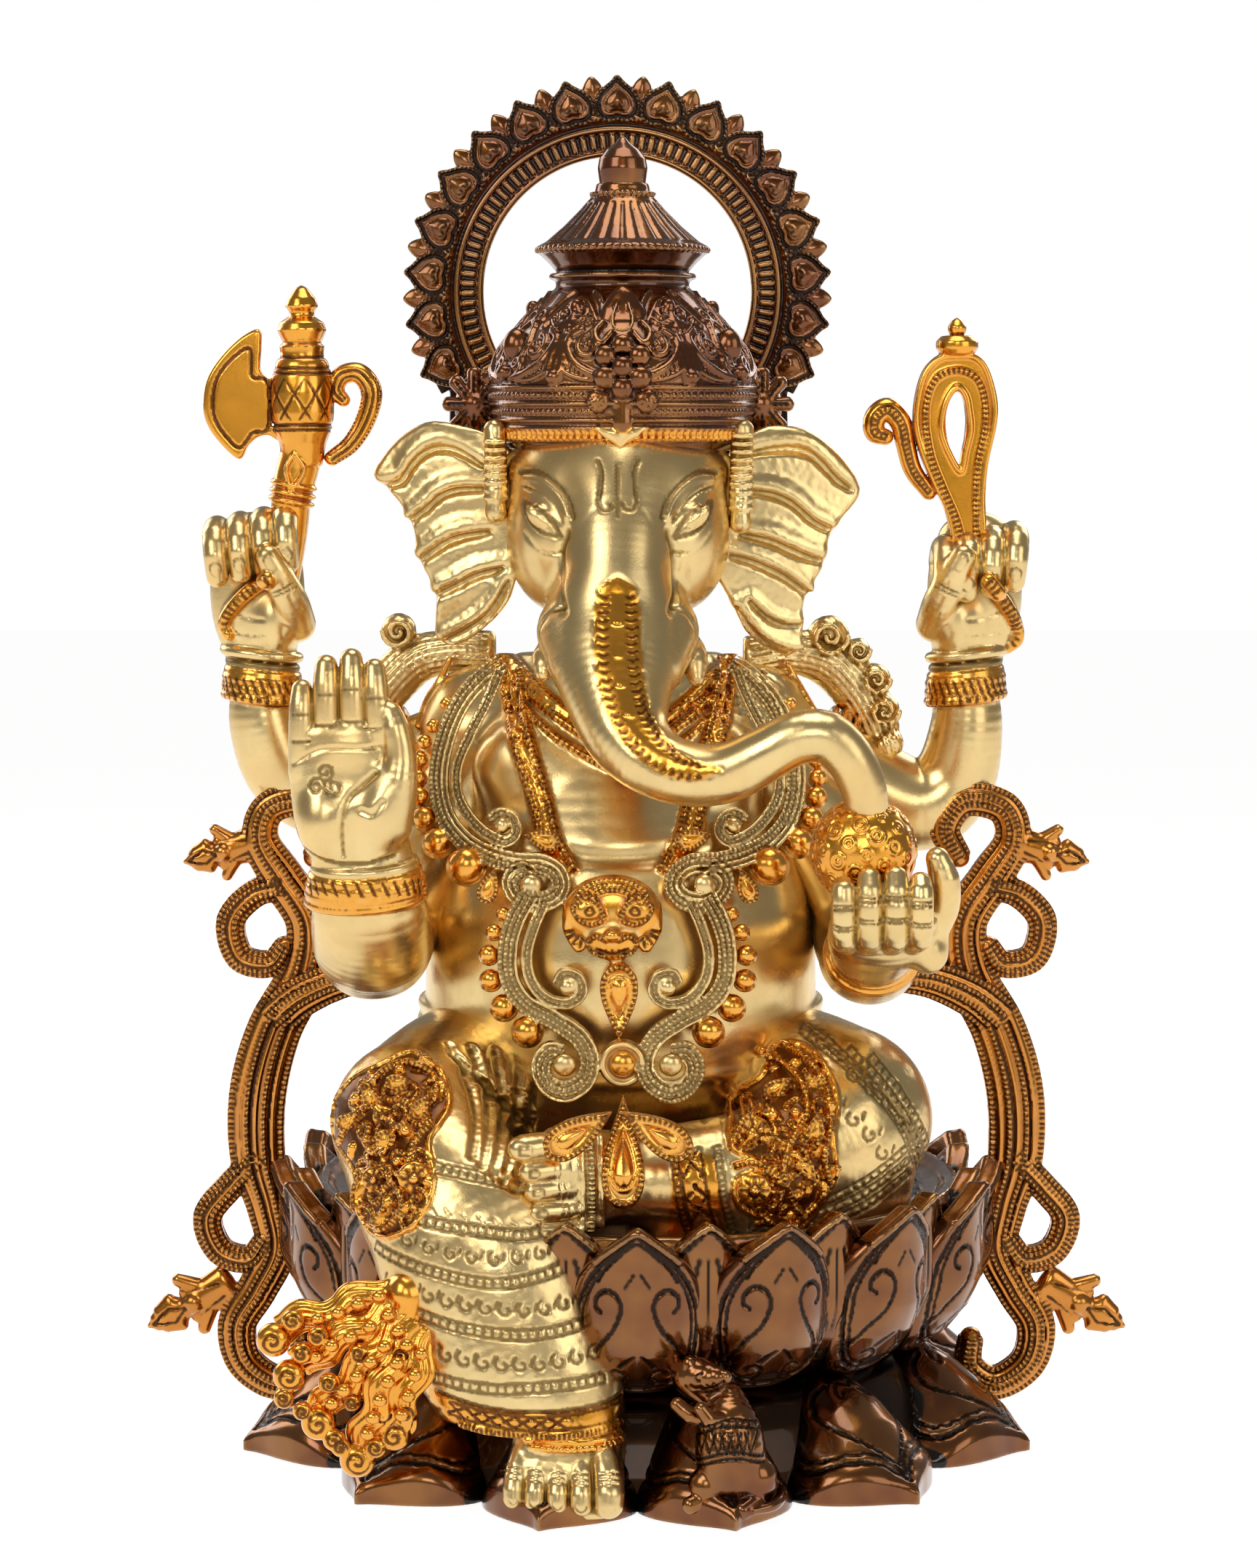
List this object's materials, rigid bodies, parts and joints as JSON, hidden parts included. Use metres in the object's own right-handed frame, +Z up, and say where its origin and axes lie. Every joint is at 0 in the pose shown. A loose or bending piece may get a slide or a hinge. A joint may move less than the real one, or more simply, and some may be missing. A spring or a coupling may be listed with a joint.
{
  "type": "ganesha idol",
  "caption": "Seated four-armed elephant-headed deity in tinted cast brass on a double lotus base, with a domed crown, horseshoe halo, openwork side scrolls and a mouse at its foot.",
  "frame": {"origin": "centre of the lotus base on the surface it stands on (bottom centre of the bounding box)", "axes": "+Z up; -Y the way the idol faces; +X to the idol's left, the side of the sweet and the noose"},
  "size_m": [0.4078, 0.3134, 0.56],
  "materials": {
    "copper_lacquer": "copper-brown lacquer over polished cast brass, black in the recesses",
    "pale_brass": "pale satin polish on cast brass, darker in the recesses",
    "gold_lacquer": "orange-gold lacquer over polished cast brass",
    "zinc_steel": "plain zinc-plated hardware"
  },
  "bodies": {
    "root": {"lotus_base_lower": "copper_lacquer", "lotus_base_upper": "copper_lacquer", "crown": "copper_lacquer", "crown_finial": "copper_lacquer", "halo": "copper_lacquer", "mouse": "copper_lacquer", "torso": "pale_brass", "head": "pale_brass", "leg_right": "pale_brass", "leg_left": "pale_brass", "arm_lower_right": "pale_brass", "arm_lower_left": "pale_brass", "arm_upper_right": "pale_brass", "arm_upper_left": "pale_brass", "ear_right": "pale_brass", "ear_left": "pale_brass", "breast_ornament": "pale_brass", "shoulder_sash_right": "pale_brass", "shoulder_sash_left": "pale_brass", "axe": "gold_lacquer", "noose": "gold_lacquer", "modak": "gold_lacquer", "side_scroll_right": "gold_lacquer", "side_scroll_left": "gold_lacquer", "sash_end": "gold_lacquer", "centre_stud": "zinc_steel", "centre_washer": "zinc_steel", "centre_nut": "zinc_steel", "lotus_bolt_1": "zinc_steel", "lotus_bolt_2": "zinc_steel", "lotus_bolt_3": "zinc_steel", "halo_screw_right": "zinc_steel", "halo_screw_left": "zinc_steel", "scroll_screw_right": "zinc_steel", "scroll_screw_left": "zinc_steel"}
  },
  "joints": []
}
